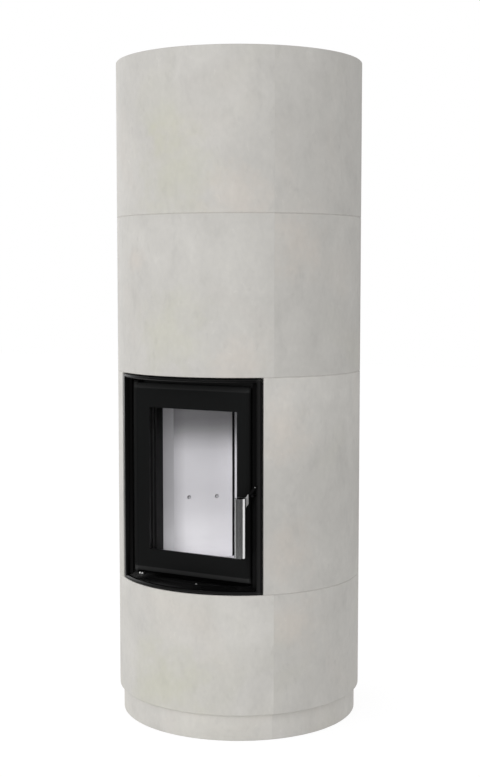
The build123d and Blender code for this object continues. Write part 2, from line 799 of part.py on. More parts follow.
with BuildPart() as air_knob:
    with BuildSketch(Plane.XY.offset(arm_bottom + arm_thickness)):
        with Locations((knob_x, -slot_depth)):
            Circle(stem_radius)
    extrude(amount=knob_bottom - arm_bottom - arm_thickness)
    with BuildSketch(Plane.XY.offset(knob_bottom)):
        with Locations((knob_x, -slot_depth)):
            SlotOverall(knob_length, knob_width)
    extrude(amount=knob_height)
    chamfer(air_knob.edges().group_by(Axis.Z)[-1], length=knob_chamfer)
    with BuildSketch(Plane.XY.offset(knob_bottom + knob_height - knob_dimple_depth)):
        with Locations((knob_x, -slot_depth)):
            with GridLocations(knob_dimple_spacing, 0, 2, 1):
                Circle(knob_dimple_radius)
    extrude(amount=knob_dimple_depth, mode=Mode.SUBTRACT)
keep(air_knob, "air_knob")

# ================================================================ hinge
hinge_plan_y = -hinge_depth
lower_bracket_bottom = leaf_bottom - swing_gap - hinge_bracket_thickness
upper_bracket_bottom = leaf_top + swing_gap

with BuildPart() as hinge_brackets:
    for level in (lower_bracket_bottom, upper_bracket_bottom):
        with BuildSketch(Plane.XY.offset(level)):
            with Locations((hinge_x, -(front_plate_depth + hinge_depth) / 2.0)):
                Rectangle(2 * hinge_bracket_radius, hinge_depth - front_plate_depth)
            with Locations((hinge_x, hinge_plan_y)):
                Circle(hinge_bracket_radius)
                Circle(hinge_pin_radius, mode=Mode.SUBTRACT)
        extrude(amount=hinge_bracket_thickness)
keep(hinge_brackets, "hinge_brackets")

pin_length = hinge_bracket_thickness + swing_gap + hinge_pin_reach
with BuildPart() as hinge_pins:
    for level in (lower_bracket_bottom, upper_bracket_bottom + hinge_bracket_thickness - pin_length):
        with BuildSketch(Plane.XY.offset(level)):
            with Locations((hinge_x, hinge_plan_y)):
                Circle(hinge_pin_radius)
        extrude(amount=pin_length)
keep(hinge_pins, "hinge_pins")


# ================================================================ door leaf
def leaf_rectangle(left, right, bottom, top, mode=Mode.ADD):
    """Rectangle by its edges, for a sketch on a plane parallel to the door."""
    with Locations(((left + right) / 2.0, (bottom + top) / 2.0)):
        Rectangle(right - left, top - bottom, mode=mode)


rib_left = leaf_left + rib_margin
rib_right = leaf_right - rib_margin
rib_bottom = leaf_bottom + rib_margin
rib_top = leaf_top - rib_margin
hinge_bore_depth = hinge_pin_reach + swing_gap

with BuildPart() as door_leaf:
    with BuildSketch(Plane.XZ.offset(leaf_back)):
        leaf_rectangle(leaf_left, leaf_right, leaf_bottom, leaf_top)
    extrude(amount=leaf_thickness - bevel_depth)
    with BuildSketch(Plane.XZ.offset(leaf_front - bevel_depth)):
        leaf_rectangle(leaf_left, leaf_right, leaf_bottom, leaf_top)
    extrude(amount=bevel_depth, taper=degrees(atan(bevel_width / bevel_depth)))
    with BuildSketch(Plane.XZ.offset(retainer_back)):
        leaf_rectangle(rib_left, rib_right, rib_bottom, rib_top)
        leaf_rectangle(rib_left + rib_width, rib_right - rib_width, rib_bottom + rib_width,
                       rib_top - rib_width, Mode.SUBTRACT)
    extrude(amount=leaf_back - retainer_back)
    for level in (leaf_bottom, leaf_top - hinge_boss_height):
        with BuildSketch(Plane.XY.offset(level)):
            with Locations((hinge_x, hinge_plan_y)):
                Circle(hinge_boss_radius)
        extrude(amount=hinge_boss_height)
    for level in (leaf_bottom, leaf_top - hinge_bore_depth):
        with BuildSketch(Plane.XY.offset(level)):
            with Locations((hinge_x, hinge_plan_y)):
                Circle(hinge_pin_radius + running_gap)
        extrude(amount=hinge_bore_depth, mode=Mode.SUBTRACT)
    with BuildSketch(Plane.XZ.offset(leaf_back)):
        leaf_rectangle(glass_left, glass_right, glass_bottom, glass_top)
    extrude(amount=leaf_thickness, mode=Mode.SUBTRACT)
    with BuildSketch(Plane.XZ.offset(leaf_front)):
        with Locations((pivot_x, pivot_z)):
            Circle(pivot_boss_radius)
    extrude(amount=hook_back - pivot_boss_gap - leaf_front)
    screw_places = []
    for screw_z in (glass_bottom - retainer_screw_offset, glass_top + retainer_screw_offset):
        for screw_x in (glass_left, glass_center_x, glass_right):
            screw_places.append((screw_x, screw_z))
    with BuildSketch(Plane.XZ.offset(leaf_back)):
        with Locations(*screw_places):
            Circle(retainer_screw_radius)
    extrude(amount=retainer_screw_depth, mode=Mode.SUBTRACT)
    with BuildSketch(Plane.XZ.offset(leaf_back)):
        with Locations((pivot_x, pivot_z)):
            Circle(pivot_radius)
    extrude(amount=hook_back - pivot_boss_gap - leaf_back, mode=Mode.SUBTRACT)
keep(door_leaf, "door_leaf")

with BuildPart() as glass_tape:
    with BuildSketch(Plane.XZ.offset(glass_front)):
        leaf_rectangle(glass_left - glass_overlap, glass_right + glass_overlap,
                       glass_bottom - glass_overlap, glass_top + glass_overlap)
        leaf_rectangle(glass_left - glass_overlap + tape_width, glass_right + glass_overlap - tape_width,
                       glass_bottom - glass_overlap + tape_width, glass_top + glass_overlap - tape_width,
                       Mode.SUBTRACT)
    extrude(amount=tape_thickness)
keep(glass_tape, "glass_tape")

with BuildPart() as door_glass:
    with BuildSketch(Plane.XZ.offset(glass_back)):
        leaf_rectangle(glass_left - glass_overlap, glass_right + glass_overlap,
                       glass_bottom - glass_overlap, glass_top + glass_overlap)
    extrude(amount=glass_thickness)
keep(door_glass, "door_glass")

with BuildPart() as glass_retainer:
    with BuildSketch(Plane.XZ.offset(retainer_back)):
        leaf_rectangle(glass_left - retainer_side_margin, glass_right + retainer_side_margin,
                       glass_bottom - retainer_end_margin, glass_top + retainer_end_margin)
        leaf_rectangle(glass_left + retainer_lip, glass_right - retainer_lip,
                       glass_bottom - retainer_lip, glass_top + retainer_lip, Mode.SUBTRACT)
        with Locations(*screw_places):
            Circle(retainer_screw_radius + screw_hole_gap, mode=Mode.SUBTRACT)
    extrude(amount=retainer_thickness)
keep(glass_retainer, "glass_retainer")

with BuildPart() as retainer_screws:
    with BuildSketch(Plane.XZ.offset(retainer_back - retainer_screw_head_height)):
        with Locations(*screw_places):
            Circle(retainer_screw_head)
    extrude(amount=retainer_screw_head_height)
    with BuildSketch(Plane.XZ.offset(retainer_back)):
        with Locations(*screw_places):
            Circle(retainer_screw_radius)
    extrude(amount=leaf_back + retainer_screw_depth - retainer_back)
keep(retainer_screws, "retainer_screws")

with BuildPart() as door_gasket:
    with BuildSketch(Plane.XZ.offset(front_plate_depth + seat_gap)):
        leaf_rectangle(rib_left, rib_right, rib_bottom, rib_top)
        leaf_rectangle(rib_left + rib_width, rib_right - rib_width, rib_bottom + rib_width,
                       rib_top - rib_width, Mode.SUBTRACT)
    extrude(amount=retainer_back - front_plate_depth - seat_gap)
keep(door_gasket, "door_gasket")

# ================================================================ handle
with BuildPart() as handle_pivot:
    with BuildSketch(Plane.XZ.offset(leaf_back)):
        with Locations((pivot_x, pivot_z)):
            Circle(pivot_radius)
    extrude(amount=pivot_end - leaf_back)
keep(handle_pivot, "handle_pivot")

scoop_center = (scoop_x, scoop_z)
scoop_end = (scoop_x + scoop_radius * cos(radians(scoop_end_angle)),
             scoop_z + scoop_radius * sin(radians(scoop_end_angle)))
nose_center = (grip_x + hook_nose_reach, grip_top + hook_nose_height)
nose_slant = hook_nose_radius * sin(radians(45.0))
nose_top = (nose_center[0] - nose_slant, nose_center[1] + nose_slant)
nose_bottom = (nose_center[0] + nose_slant, nose_center[1] - nose_slant)
nose_front = (nose_center[0] + nose_slant, nose_center[1] + nose_slant)
back_line_slope = (nose_top[1] - scoop_end[1]) / (nose_top[0] - scoop_end[0])
cheek_top = scoop_end[1] + (cheek_right - scoop_end[0]) * back_line_slope

# The latch hook lies behind the handle's cheek and reaches over the surround's pin.
with BuildPart() as latch_hook:
    hook_left = cheek_left + hook_margin
    hook_right = cheek_right - hook_margin
    hook_bottom = cheek_bottom + hook_margin
    with BuildSketch(Plane.XZ.offset(hook_back)):
        with BuildLine():
            scoop = CenterArc(scoop_center, scoop_radius, -90.0, 90.0 + scoop_end_angle)
            Line(scoop @ 1, nose_top)
            ThreePointArc(nose_top, nose_front, nose_bottom)
            Polyline(nose_bottom, (grip_x + hook_chin_reach, grip_top + hook_chin_height),
                     (hook_right, grip_top + hook_chin_rise), (hook_right, hook_bottom + cheek_corner_height),
                     (hook_right - cheek_corner_width, hook_bottom), (hook_left, hook_bottom),
                     (hook_left, grip_top), scoop @ 0)
        make_face()
        with Locations((pivot_x, pivot_z)):
            Circle(pivot_radius + running_gap, mode=Mode.SUBTRACT)
    extrude(amount=hook_thickness)
keep(latch_hook, "latch_hook")

with BuildPart() as handle_lever:
    with BuildSketch(Plane.XZ.offset(lever_back)):
        with BuildLine():
            scoop = CenterArc(scoop_center, scoop_radius, -90.0, 90.0 + scoop_end_angle)
            Polyline(scoop @ 1, (cheek_right, cheek_top), (cheek_right, cheek_bottom + cheek_corner_height),
                     (cheek_right - cheek_corner_width, cheek_bottom), (cheek_left, cheek_bottom),
                     (cheek_left, grip_top), scoop @ 0)
        make_face()
    extrude(amount=lever_thickness)
    with BuildSketch(Plane.XZ.offset(lever_back)):
        with Locations((pivot_x, pivot_z)):
            Circle(pivot_radius + running_gap)
    extrude(amount=pivot_seat_depth, mode=Mode.SUBTRACT)
keep(handle_lever, "handle_lever")

with BuildPart() as handle_grip:
    with BuildSketch(Plane.XY.offset(grip_bottom)):
        with Locations((grip_x, -grip_depth)):
            Circle(grip_radius)
    extrude(amount=grip_length)
    chamfer(handle_grip.edges().group_by(Axis.Z)[0], length=grip_chamfer)
    with BuildSketch(Plane.XY.offset(grip_bottom)):
        with Locations((grip_x, -(lever_front - grip_radius))):
            Rectangle(2 * grip_radius, 2 * grip_radius)
    extrude(amount=grip_length, mode=Mode.SUBTRACT)
keep(handle_grip, "handle_grip")
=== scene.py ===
import bpy
from math import cos, pi, radians, sin
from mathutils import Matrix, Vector


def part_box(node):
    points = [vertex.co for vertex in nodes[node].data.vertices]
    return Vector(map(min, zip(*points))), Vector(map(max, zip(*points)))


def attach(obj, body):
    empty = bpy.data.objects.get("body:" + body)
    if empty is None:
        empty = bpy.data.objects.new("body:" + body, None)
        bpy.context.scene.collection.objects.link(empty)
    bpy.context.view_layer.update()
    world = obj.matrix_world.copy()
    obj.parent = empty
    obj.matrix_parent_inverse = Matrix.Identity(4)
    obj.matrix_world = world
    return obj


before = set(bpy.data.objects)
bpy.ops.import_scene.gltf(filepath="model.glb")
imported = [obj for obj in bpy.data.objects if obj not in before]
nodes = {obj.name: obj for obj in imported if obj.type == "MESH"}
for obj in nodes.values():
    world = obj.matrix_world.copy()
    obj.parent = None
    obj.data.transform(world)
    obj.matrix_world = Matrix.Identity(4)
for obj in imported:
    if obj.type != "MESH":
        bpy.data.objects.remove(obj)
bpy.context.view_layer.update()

# A round tiled stove on a pale floor. Metres. The column's axis is Z and the door faces -Y.
X, Y, Z = 0, 1, 2
UP = Vector((0.0, 0.0, 1.0))
FORWARD = Vector((0.0, -1.0, 0.0))
WHITE = (1.0, 1.0, 1.0, 1.0)


def around(azimuth, distance):
    """X and Y of a point about the column's axis: azimuth 0 is the door's side, 90 the user's right."""
    return distance * sin(radians(azimuth)), -distance * cos(radians(azimuth))


def add_object(name, data):
    piece = bpy.data.objects.new(name, data)
    bpy.context.scene.collection.objects.link(piece)
    return piece


def add_mesh(name, points, faces, material):
    mesh = bpy.data.meshes.new(name)
    mesh.from_pydata(points, [], faces)
    mesh.materials.append(material)
    return add_object(name, mesh)


# ================================================================ camera
CAMERA_AZIMUTH = 29.5
CAMERA_DISTANCE = 3.8536
CAMERA_HEIGHT = 1.2518
CAMERA_PITCH = 0.0827
CAMERA_YAW = 0.0007
SENSOR = 36.0
FOCAL_PIXELS = 1328.69
PICTURE_HEIGHT = 777.0


def add_camera():
    """The camera stands to the right of the door's axis, about two thirds up the stove."""
    data = bpy.data.cameras.new("camera")
    data.sensor_fit = "VERTICAL"
    data.sensor_height = SENSOR
    data.lens = SENSOR * FOCAL_PIXELS / PICTURE_HEIGHT
    camera = add_object("camera", data)
    camera.location = (*around(CAMERA_AZIMUTH, CAMERA_DISTANCE), CAMERA_HEIGHT)
    camera.rotation_euler = (pi / 2 - CAMERA_PITCH, 0.0, radians(CAMERA_AZIMUTH) - CAMERA_YAW)
    bpy.context.scene.camera = camera


# ================================================================ material helpers
# A noise's values lie mostly between these two.
NOISE_LOW = 0.3
NOISE_HIGH = 0.7
# An uneven roughness runs between these shares of its mean.
UNEVEN_LOW = 0.88
UNEVEN_HIGH = 1.12
# A patch's edge wanders by this share of its radius; it starts at the rim and is full at the heart.
PATCH_WANDER = 1.7
PATCH_RIM = 1.35
PATCH_HEART = 0.1


class Graph:
    """A material's node tree, with short calls for the nodes used here."""

    def __init__(self, name):
        self.material = bpy.data.materials.new(name)
        self.material.use_nodes = True
        self.tree = self.material.node_tree
        self.shader = self.tree.nodes["Principled BSDF"]
        coordinates = self.tree.nodes.new("ShaderNodeTexCoord")
        self.place = coordinates.outputs["Object"]
        self.normal = coordinates.outputs["Normal"]

    def node(self, kind, **settings):
        node = self.tree.nodes.new(kind)
        for key, value in settings.items():
            setattr(node, key, value)
        return node

    def link(self, source, target):
        self.tree.links.new(source, target)

    def show(self, shader):
        """Makes a shader the material's surface."""
        self.link(shader, self.tree.nodes["Material Output"].inputs["Surface"])

    def stretch(self, scale, source=None):
        """Coordinates scaled along each axis, for grain that runs one way."""
        node = self.node("ShaderNodeMapping")
        node.inputs["Scale"].default_value = scale
        self.link(source or self.place, node.inputs["Vector"])
        return node.outputs["Vector"]

    def noise(self, scale, detail, roughness, swirl=0.0, source=None):
        node = self.node("ShaderNodeTexNoise")
        node.inputs["Scale"].default_value = scale
        node.inputs["Detail"].default_value = detail
        node.inputs["Roughness"].default_value = roughness
        node.inputs["Distortion"].default_value = swirl
        self.link(source or self.place, node.inputs["Vector"])
        return node.outputs["Fac"]

    def ramp(self, fac, *stops):
        """Colour ramp through (position, colour) stops; a colour is a number or three."""
        node = self.node("ShaderNodeValToRGB")
        elements = node.color_ramp.elements
        elements[0].position = stops[0][0]
        elements[-1].position = stops[-1][0]
        for position, colour in stops[1:-1]:
            elements.new(position)
        for element, (position, colour) in zip(elements, stops):
            if isinstance(colour, (int, float)):
                colour = (colour, colour, colour)
            element.color = (*colour, 1.0)
        self.link(fac, node.inputs["Fac"])
        return node.outputs["Color"]

    def spread(self, noise, low, high):
        """Ramp from one colour to another over a noise's usual values."""
        return self.ramp(noise, (NOISE_LOW, low), (NOISE_HIGH, high))

    def along(self, axis, *stops):
        """Ramp along one axis of the object, through (metres, colour) stops."""
        low, high = stops[0][0], stops[-1][0]
        parts = self.node("ShaderNodeSeparateXYZ")
        self.link(self.place, parts.inputs["Vector"])
        share = self.node("ShaderNodeMapRange")
        share.inputs["From Min"].default_value = low
        share.inputs["From Max"].default_value = high
        self.link(parts.outputs[axis], share.inputs["Value"])
        shares = (((place - low) / (high - low), colour) for place, colour in stops)
        return self.ramp(share.outputs["Result"], *shares)

    def patch(self, centre, radius, ragged):
        """1 inside a soft, ragged round patch about a point, 0 outside."""
        gap = self.node("ShaderNodeVectorMath", operation="DISTANCE")
        self.link(self.place, gap.inputs[0])
        gap.inputs[1].default_value = centre
        wander = self.node("ShaderNodeMath", operation="MULTIPLY_ADD")
        wander.inputs[1].default_value = radius * PATCH_WANDER * 2
        wander.inputs[2].default_value = -radius * PATCH_WANDER
        self.link(ragged, wander.inputs[0])
        total = self.node("ShaderNodeMath", operation="ADD")
        self.link(gap.outputs["Value"], total.inputs[0])
        self.link(wander.outputs["Value"], total.inputs[1])
        share = self.node("ShaderNodeMapRange")
        share.inputs["From Min"].default_value = radius * PATCH_RIM
        share.inputs["From Max"].default_value = radius * PATCH_HEART
        self.link(total.outputs["Value"], share.inputs["Value"])
        return share.outputs["Result"]

    def mix(self, fac, first, second, blend="MIX"):
        """Mixes two colours, through the colour sockets 6 and 7 and the colour output 2 of Blender's node."""
        node = self.node("ShaderNodeMix", data_type="RGBA", blend_type=blend)
        for index, value in ((0, fac), (6, first), (7, second)):
            if isinstance(value, (int, float)):
                node.inputs[index].default_value = value
            elif isinstance(value, tuple):
                node.inputs[index].default_value = (*value, 1.0)
            else:
                self.link(value, node.inputs[index])
        return node.outputs[2]

    def times(self, base, tone):
        """A colour multiplied by another."""
        return self.mix(1.0, base, tone, "MULTIPLY")

    def plus(self, base, tone):
        """A colour with another added."""
        return self.mix(1.0, base, tone, "ADD")

    def uneven(self, noise, roughness):
        """A roughness that varies a little with a noise."""
        return self.spread(noise, roughness * UNEVEN_LOW, roughness * UNEVEN_HIGH)

    def bump(self, height, distance, strength, normal=None):
        node = self.node("ShaderNodeBump")
        node.inputs["Distance"].default_value = distance
        node.inputs["Strength"].default_value = strength
        self.link(height, node.inputs["Height"])
        if normal is not None:
            self.link(normal, node.inputs["Normal"])
        return node.outputs["Normal"]

    def set(self, **values):
        """Sets shader sockets; a name's underscores stand for spaces."""
        for key, value in values.items():
            socket = self.shader.inputs[key.replace("_", " ")]
            if hasattr(value, "is_linked"):
                self.link(value, socket)
            else:
                socket.default_value = value


def shade(colour, factor):
    """A colour made lighter or darker by one factor."""
    return tuple(channel * factor for channel in colour)


# ================================================================ tiles
CERAMIC = (0.60, 0.585, 0.555)
CERAMIC_OLIVE = (0.577, 0.570, 0.487)
CERAMIC_TAN = (0.640, 0.595, 0.545)

# A noise is its scale, detail, roughness and, where it has one, its swirl.
CLOUDS = (6.0, 6.0, 0.62, 0.5)
CLOUD_TONES = (0.94, 1.06)
RAGGED = (14.0, 5.0, 0.65, 0.0)
OLIVE_DRIFTS = (2.3, 3.0, 0.5, 0.8)
TAN_DRIFTS = (3.1, 3.0, 0.5, 0.8)
DRIFT_SHARES = ((0.56, 0.0), (0.76, 0.35))
PATCH_SHARE = 0.62
MOTTLES = (17.0, 5.0, 0.60, 0.3)
MOTTLE_SQUEEZE = (1.0, 1.0, 0.55)
MOTTLE_TONES = ((0.28, 0.92), (0.42, 0.98), (0.60, 1.0), (0.78, 1.045))
MOTTLE_ROUGHNESS = (0.60, 0.76)
MOTTLE_DEPTH = 0.0012
MOTTLE_STRENGTH = 0.25
CLAY_GRAIN = (520.0, 3.0, 0.6, 0.0)
CLAY_GRAIN_DEPTH = 0.00035
CLAY_GRAIN_STRENGTH = 0.35
# Pits, pale chips and fine flecks: the noise, its squeeze along each axis, and its tones.
CLAY_MARKS = (((46.0, 3.0, 0.5, 0.25), (1.0, 1.0, 0.55), ((0.24, 0.94), (0.37, 1.0))),
              ((44.0, 2.0, 0.5, 1.6), (1.0, 1.0, 0.6), ((0.68, 1.0), (0.76, 1.05))),
              ((85.0, 2.0, 0.5, 0.0), (1.0, 1.0, 0.7), ((0.30, 0.98), (0.70, 1.02))))

# Where the clay's wash turns olive or tan: a point on the tile's face, and the patch's radius.
OLIVE_PATCHES = {
    "top_tile_front": (((-0.010, -0.350, 1.520), 0.105), ((-0.030, -0.349, 1.655), 0.06)),
    "middle_tile_front": (((-0.023, -0.349, 1.108), 0.100),),
    "base_tile_front": (((-0.046, -0.347, 0.150), 0.110),),
}
TAN_PATCHES = {
    "top_tile_front": (((0.169, -0.307, 1.463), 0.075),),
    "middle_tile_front": (((0.175, -0.303, 1.040), 0.06), ((-0.150, -0.316, 1.300), 0.035)),
    "middle_tile_right": (((0.285, -0.197, 1.352), 0.085),),
    "base_tile_right": (((0.288, -0.199, 0.319), 0.070),),
    "door_tile_right": (((0.263, -0.231, 0.840), 0.085), ((0.270, -0.223, 0.520), 0.08)),
}
# The tile right of the door is paler at its top and greyer below the door's middle, as painted light and
# shade.
LIGHT_AND_SHADE_BY_HEIGHT = {"door_tile_right": ((0.43, 0.98), (0.60, 0.915), (0.70, 0.95), (0.80, 1.0), (0.93, 1.06))}

# Every tile's tone is its course's times its side's; two courses have their own at the right. The lower
# courses are paler by painted light from the floor.
COURSE_TONES = {"plinth": 1.145, "base_tile": 1.065, "door_tile": 1.055, "middle_tile": 1.0, "top_tile": 1.0}
SIDE_TONES = {"front": 1.0, "left": 1.0, "right": 0.955, "back": 0.955}
LOWER_RIGHT_TONES = {"plinth": 0.925, "base_tile": 0.93}
# How far the clay's noise moves on from tile to tile, so that no two tiles look the same.
TILE_SHIFT = (3.7, 5.3, 1.9)
COVER_TONE = 0.97
COVER_OFFSET = (9.1, 2.3, 4.4)


def ceramic(name, tone, offset, olive=(), tan=(), painted_by_height=()):
    """Matt fired clay with a thin wash: clouds, olive and tan patches, mottles, pits, chips and flecks."""
    graph = Graph(name)
    shifted = graph.node("ShaderNodeVectorMath", operation="ADD")
    graph.link(graph.place, shifted.inputs[0])
    shifted.inputs[1].default_value = offset
    place = shifted.outputs["Vector"]
    clouds = graph.noise(*CLOUDS, place)
    base = graph.spread(clouds, *(shade(CERAMIC, cloud_tone * tone) for cloud_tone in CLOUD_TONES))
    ragged = graph.noise(*RAGGED, place)
    for tint, drifts, patches in ((CERAMIC_OLIVE, OLIVE_DRIFTS, olive), (CERAMIC_TAN, TAN_DRIFTS, tan)):
        share = graph.ramp(graph.noise(*drifts, place), *DRIFT_SHARES)
        for centre, radius in patches:
            share = graph.mix(PATCH_SHARE, share, graph.patch(centre, radius, ragged), "ADD")
        base = graph.mix(share, base, shade(tint, tone))
    mottles = graph.noise(*MOTTLES, graph.stretch(MOTTLE_SQUEEZE, place))
    base = graph.times(base, graph.ramp(mottles, *MOTTLE_TONES))
    for noise, squeeze, tones in CLAY_MARKS:
        marks = graph.noise(*noise, graph.stretch(squeeze, place))
        base = graph.times(base, graph.ramp(marks, *tones))
    # Painted light and shade by height, where given.
    if painted_by_height:
        base = graph.times(base, graph.along(Z, *painted_by_height))
    normal = graph.bump(graph.noise(*CLAY_GRAIN, place), CLAY_GRAIN_DEPTH, CLAY_GRAIN_STRENGTH)
    normal = graph.bump(mottles, MOTTLE_DEPTH, MOTTLE_STRENGTH, normal)
    graph.set(Base_Color=base, Roughness=graph.spread(mottles, *MOTTLE_ROUGHNESS), Specular_IOR_Level=0.3,
              Normal=normal)
    return graph.material


def dress(material, *names):
    """Gives CAD nodes a material in place of the one they came with."""
    for name in names:
        slots = nodes[name].data.materials
        slots.clear()
        slots.append(material)


def dress_column():
    """Every tile has its own clouds; the tiles right of the door are a shade darker."""
    for row, (course, course_tone) in enumerate(COURSE_TONES.items()):
        for column, (side, side_tone) in enumerate(SIDE_TONES.items()):
            name = f"{course}_{side}"
            if name in nodes:
                offset = (row * TILE_SHIFT[X], column * TILE_SHIFT[Y], row * TILE_SHIFT[Z] + column)
                if side == "right":
                    side_tone = LOWER_RIGHT_TONES.get(course, side_tone)
                dress(ceramic(f"ceramic_{name}", side_tone * course_tone, offset,
                              OLIVE_PATCHES.get(name, ()), TAN_PATCHES.get(name, ()),
                              LIGHT_AND_SHADE_BY_HEIGHT.get(name, ())), name)
    dress(ceramic("ceramic_cover", COVER_TONE, COVER_OFFSET), "top_cover")


# ================================================================ fireclay
BACK_CLAY = (0.80, 0.79, 0.812)
# The side bricks' clay is a touch darker than the back's, as painted shade.
SIDE_CLAY = (0.78, 0.776, 0.79)
PRESSED_GRAIN = (320.0, 4.0, 0.65)
PRESSED_GRAIN_SHARE = 0.12
PRESSED_GRAIN_DEPTH = 0.0004
HAZE = (7.0, 4.0, 0.6)

# The lining's tone, painted light and shade: by height on the back and the side bricks, with the baffle's
# shadow at the top; across the back, darker in the left corner and paler by the middle joint; and along the
# sides, darker towards the mouth.
BACK_SHADE_BY_HEIGHT = ((0.465, 1.04), (0.50, 0.88), (0.583, 0.825), (0.64, 0.885), (0.70, 1.00), (0.735, 1.03),
                  (0.757, 0.99), (0.784, 0.82), (0.813, 0.56), (0.832, 0.43), (0.85, 0.37), (0.868, 0.40),
                  (0.92, 0.30))
SIDE_SHADE_BY_HEIGHT = ((0.465, 1.00), (0.50, 0.92), (0.55, 0.79), (0.61, 0.79), (0.66, 0.86), (0.72, 0.94),
                  (0.755, 1.00), (0.80, 0.94), (0.83, 0.83), (0.87, 0.82))
BACK_LIGHT_AND_SHADE_BY_WIDTH = ((-0.132, 0.86), (-0.122, 0.98), (-0.105, 1.13), (-0.085, 1.09), (-0.05, 1.03), (-0.02, 1.09),
                 (0.0, 1.18), (0.003, 1.04), (0.04, 1.0))
SIDE_SHADE_BY_DEPTH = ((-0.206, 0.73), (-0.150, 0.90))
# The joint between the back bricks is dark inside with painted shade, and the right brick has a painted
# highlight next to it.
JOINT_SHADE_AND_LIGHT = ((-0.0046, 1.0), (-0.0040, 0.05), (0.0034, 0.05), (0.0037, 1.12), (0.030, 0.96))


def fireclay(name, colour, painted_by_height, axis=X, *others):
    """Pressed fireclay: dry, pale, with fine grain, and darkened towards the baffle by painted shade."""
    graph = Graph(name)
    grain = graph.noise(*PRESSED_GRAIN)
    base = graph.spread(graph.noise(*HAZE), shade(colour, 0.97), shade(colour, 1.02))
    base = graph.mix(PRESSED_GRAIN_SHARE, base, graph.spread(grain, 0.35, 0.75), "SOFT_LIGHT")
    # Painted light and shade by height, and across or along the piece.
    base = graph.times(base, graph.along(Z, *painted_by_height))
    for stops in others:
        base = graph.times(base, graph.along(axis, *stops))
    graph.set(Base_Color=base, Roughness=0.9, Specular_IOR_Level=0.2,
              Normal=graph.bump(grain, PRESSED_GRAIN_DEPTH, 0.4))
    return graph.material


# ================================================================ black paint and enamel
PEEL_SCALE = 900.0
PEEL_DEPTH = 0.00008
PEEL_STRENGTH = 0.25
WEAR = (24.0, 5.0, 0.6)


def orange_peel(graph, scale=PEEL_SCALE, depth=PEEL_DEPTH, strength=PEEL_STRENGTH):
    """The fine waviness of a sprayed coat."""
    return graph.bump(graph.noise(scale, 2.0, 0.5), depth, strength)


def paint(name, colour, roughness, specular):
    """Baked black paint on steel: fine orange peel and slightly uneven gloss."""
    graph = Graph(name)
    wear = graph.noise(*WEAR)
    graph.set(Base_Color=graph.spread(wear, shade(colour, 0.85), shade(colour, 1.15)),
              Roughness=graph.uneven(wear, roughness), Specular_IOR_Level=specular, Normal=orange_peel(graph))
    return graph.material


LEAF_TINT = (0.94, 1.0, 1.01)
LEAF_MIDDLE = 0.70
LEAF_BEVEL = 0.012
# Where the left side of the leaf's glass opening stands, and half the width of the shade on it.
LEAF_OPENING = -0.135855
OPENING_SHADE = 0.0001


def leaf_paint(name):
    """The door's paint: a touch of blue, graded by height as painted light and shade, with painted highlights
    on three slanted edges, painted shade in the opening's side, and darker along its right edge.
    """
    low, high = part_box("door_leaf")
    graph = Graph(name)
    # Paler towards the top and darker towards the bottom: painted light and shade.
    base = graph.along(Z, (low.z, shade(LEAF_TINT, 0.0052)), (LEAF_MIDDLE, shade(LEAF_TINT, 0.0068)),
                       (high.z, shade(LEAF_TINT, 0.0084)))
    # Painted highlights on the lower, upper and left slanted edges.
    for axis, *stops in (
            (Z, (low.z, 0.018), (low.z + 0.006, 0.030), (low.z + LEAF_BEVEL, 0.026),
             (low.z + LEAF_BEVEL + 0.002, 0.0)),
            (Z, (high.z - LEAF_BEVEL - 0.003, 0.0), (high.z - LEAF_BEVEL, 0.017), (high.z, 0.006)),
            (X, (low.x, 0.012), (low.x + 0.007, 0.005), (low.x + LEAF_BEVEL, 0.0))):
        base = graph.plus(base, graph.along(axis, *stops))
    # Painted shade in the side of the glass opening; darker along the leaf's right edge.
    base = graph.times(base, graph.along(
        X, (LEAF_OPENING - OPENING_SHADE * 2, 1.0), (LEAF_OPENING - OPENING_SHADE, 0.1),
        (LEAF_OPENING + OPENING_SHADE, 0.1), (LEAF_OPENING + OPENING_SHADE * 2, 1.0),
        (high.x - 0.005, 1.0), (high.x - 0.0025, 0.4)))
    graph.set(Base_Color=base, Roughness=0.38, Specular_IOR_Level=0.12, Normal=orange_peel(graph))
    return graph.material


# Painted highlights along the rim's ridges, and painted light in the pocket behind the rim.
RIDGE_HIGHLIGHT = 0.015
UPPER_RIDGE_HIGHLIGHT = RIDGE_HIGHLIGHT * 0.7
RIM_TONE = 0.0012
POCKET_LIGHT = 0.030


def surround_paint(name):
    """Deep black on the rim, with a soft painted highlight along its ridge; the pocket behind it is paler
    with painted light.
    """
    low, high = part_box("surround_frame")
    graph = Graph(name)
    base = graph.along(Y, (-0.2640, RIM_TONE), (-0.2625, POCKET_LIGHT))
    lower = graph.along(Z, (low.z + 0.0025, 0.0), (low.z + 0.0048, RIDGE_HIGHLIGHT), (low.z + 0.0072, 0.0))
    lower = graph.times(lower, graph.along(X, (-0.10, 0.25), (0.0, 1.0)))
    upper = graph.along(Z, (high.z - 0.0065, 0.0), (high.z - 0.0040, UPPER_RIDGE_HIGHLIGHT),
                        (high.z - 0.0015, 0.0))
    right = graph.along(X, (high.x - 0.014, 0.0), (high.x - 0.0045, RIDGE_HIGHLIGHT), (high.x - 0.001, 0.0))
    for ridge in (lower, upper, right):
        base = graph.plus(base, ridge)
    graph.set(Base_Color=base, Roughness=0.35, Specular_IOR_Level=0.14, Normal=orange_peel(graph))
    return graph.material


SILL_BLACK = (0.0035, 0.0035, 0.0036)


